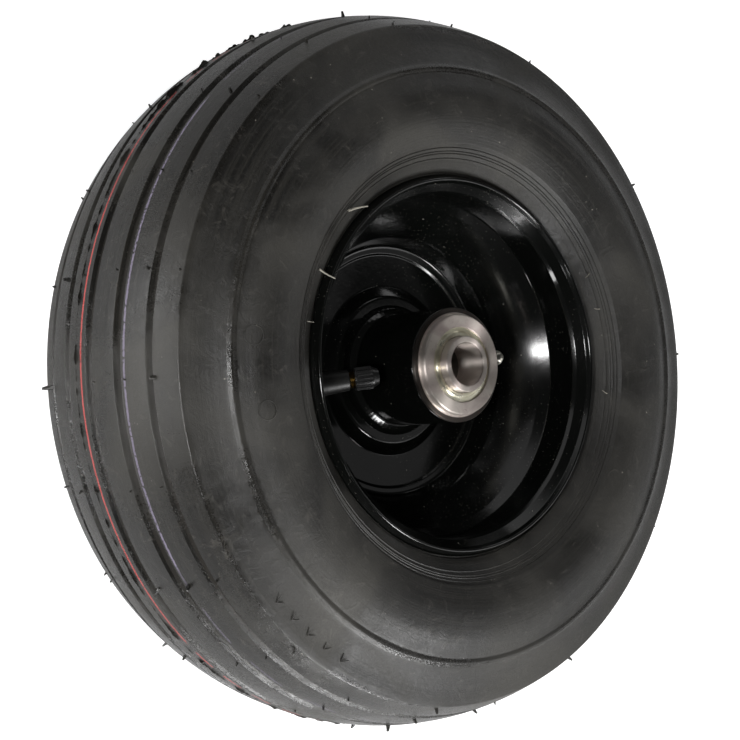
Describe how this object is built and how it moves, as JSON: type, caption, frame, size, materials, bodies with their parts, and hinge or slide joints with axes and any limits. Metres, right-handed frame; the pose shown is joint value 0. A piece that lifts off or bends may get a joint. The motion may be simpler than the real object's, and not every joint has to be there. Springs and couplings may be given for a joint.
{
  "type": "pneumatic wheel",
  "caption": "Pneumatic ribbed wheel: black tyre on a pressed steel rim with a ball-bearing hub, angled valve stem and grease fitting.",
  "frame": {"origin": "the wheel's centre, on the axle line and the middle plane of the tread", "axes": "+Z along the axle line towards the side with the valve; +X points from the axle line towards the side away from the valve stem"},
  "size_m": [0.3224, 0.3224, 0.1234],
  "materials": {
    "tyre_rubber": "matt moulded rubber with a slight bloom",
    "rim_paint": "gloss black enamel",
    "bearing_steel": "ground and turned steel",
    "shield_zinc": "zinc-plated pressed sheet",
    "ball_steel": "polished steel",
    "cage_steel": "pressed steel",
    "sleeve_steel": "drawn tube",
    "fitting_zinc": "zinc plate",
    "valve_rubber": "smooth moulded rubber",
    "valve_brass": "turned brass",
    "cap_plastic": "moulded nylon"
  },
  "bodies": {
    "wheel": {"tyre": "tyre_rubber", "rim_half_front": "rim_paint", "rim_half_back": "rim_paint", "rim_seam_weld": "rim_paint", "hub_tube": "rim_paint", "hub_weld_front": "rim_paint", "hub_weld_back": "rim_paint", "bearing_outer_ring_front": "bearing_steel", "bearing_outer_ring_back": "bearing_steel", "bearing_shield_outer_front": "shield_zinc", "bearing_shield_outer_back": "shield_zinc", "bearing_shield_inner_front": "shield_zinc", "bearing_shield_inner_back": "shield_zinc", "grease_fitting_body": "fitting_zinc", "valve_stem_rubber": "valve_rubber", "valve_stem_brass": "valve_brass", "valve_core_barrel": "valve_brass"},
    "inner_races": {"bearing_inner_ring_front": "bearing_steel", "bearing_inner_ring_back": "bearing_steel", "spacer_sleeve": "sleeve_steel"},
    "ball_row_front": {"bearing_balls_front": "ball_steel", "ball_cage_front": "cage_steel"},
    "ball_row_back": {"bearing_balls_back": "ball_steel", "ball_cage_back": "cage_steel"},
    "dust_cap": {"valve_cap": "cap_plastic"},
    "core_pin": {"valve_core_pin": "valve_brass"},
    "check_ball": {"grease_fitting_ball": "ball_steel"}
  },
  "joints": [
    {"name": "race_spin", "type": "hinge", "parent": "wheel", "child": "inner_races", "pos_m": [0, 0, 0], "axis": [0, 0, 1], "continuous": true},
    {"name": "ball_row_front_spin", "type": "hinge", "parent": "wheel", "child": "ball_row_front", "pos_m": [0, 0, 0.04575], "axis": [0, 0, 1], "continuous": true},
    {"name": "ball_row_back_spin", "type": "hinge", "parent": "wheel", "child": "ball_row_back", "pos_m": [0, 0, -0.04575], "axis": [0, 0, 1], "continuous": true},
    {"name": "cap_off", "type": "slide", "parent": "wheel", "child": "dust_cap", "axis": [0.8456, 0.0517, 0.5313], "range_m": [0, 0.0075]},
    {"name": "core_press", "type": "slide", "parent": "wheel", "child": "core_pin", "axis": [-0.8456, -0.0517, -0.5313], "range_m": [0, 0.0015], "stiffness_N_per_m": 400, "springref_m": -0.001},
    {"name": "check_ball_press", "type": "slide", "parent": "wheel", "child": "check_ball", "axis": [-0.9989, -0.0471, 0], "range_m": [0, 0.0008], "stiffness_N_per_m": 300, "springref_m": -0.001}
  ],
  "couplings": [
    {"joint": "ball_row_front_spin", "follows": "race_spin", "ratio": 0.3931},
    {"joint": "ball_row_back_spin", "follows": "race_spin", "ratio": 0.3931}
  ]
}
